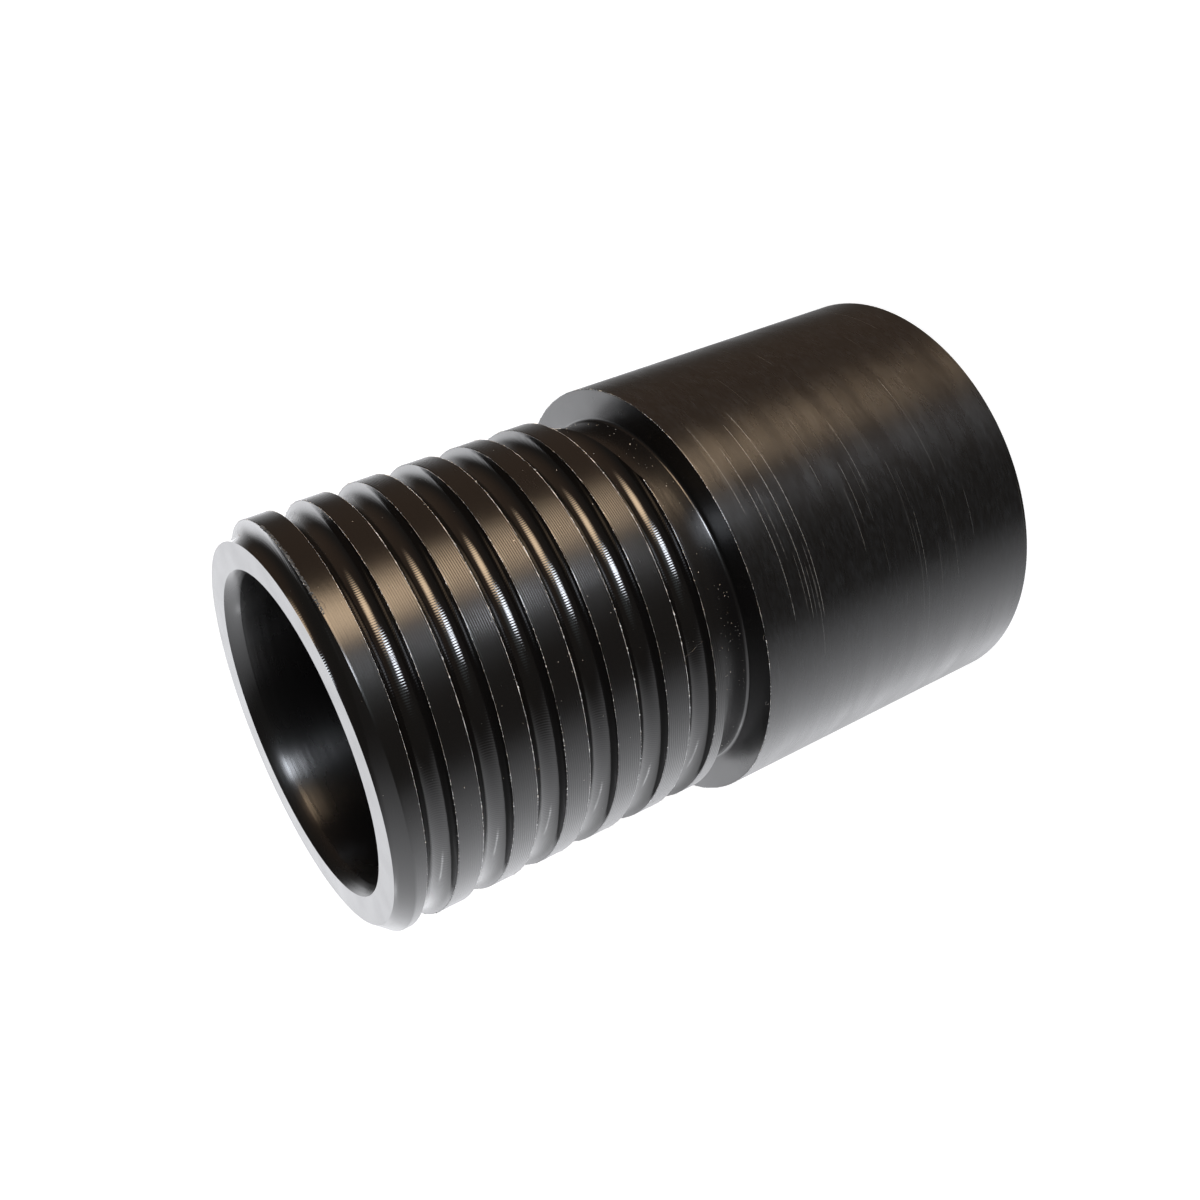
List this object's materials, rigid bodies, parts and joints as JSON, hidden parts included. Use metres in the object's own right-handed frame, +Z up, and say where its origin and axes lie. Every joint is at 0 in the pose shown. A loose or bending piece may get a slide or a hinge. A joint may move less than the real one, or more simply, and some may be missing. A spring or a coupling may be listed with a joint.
{
  "type": "vacuum hose adapter",
  "caption": "Turned plastic adapter: a smooth round plain end at a square shoulder, and a coarse round-bottomed left-hand thread for a hose cuff, bored through.",
  "frame": {"origin": "centre of the plain end's face, on which the adapter stands", "axes": "+Z up the bore axis, from the plain end to the threaded end; the groove's phase is set by +X"},
  "size_m": [0.0508, 0.0508, 0.084],
  "materials": {
    "black_plastic": "black polyethylene as turned, glossy, with fine tool marks and thin pale burrs at the sharp edges"
  },
  "bodies": {
    "root": {"adapter_body": "black_plastic"}
  },
  "joints": []
}
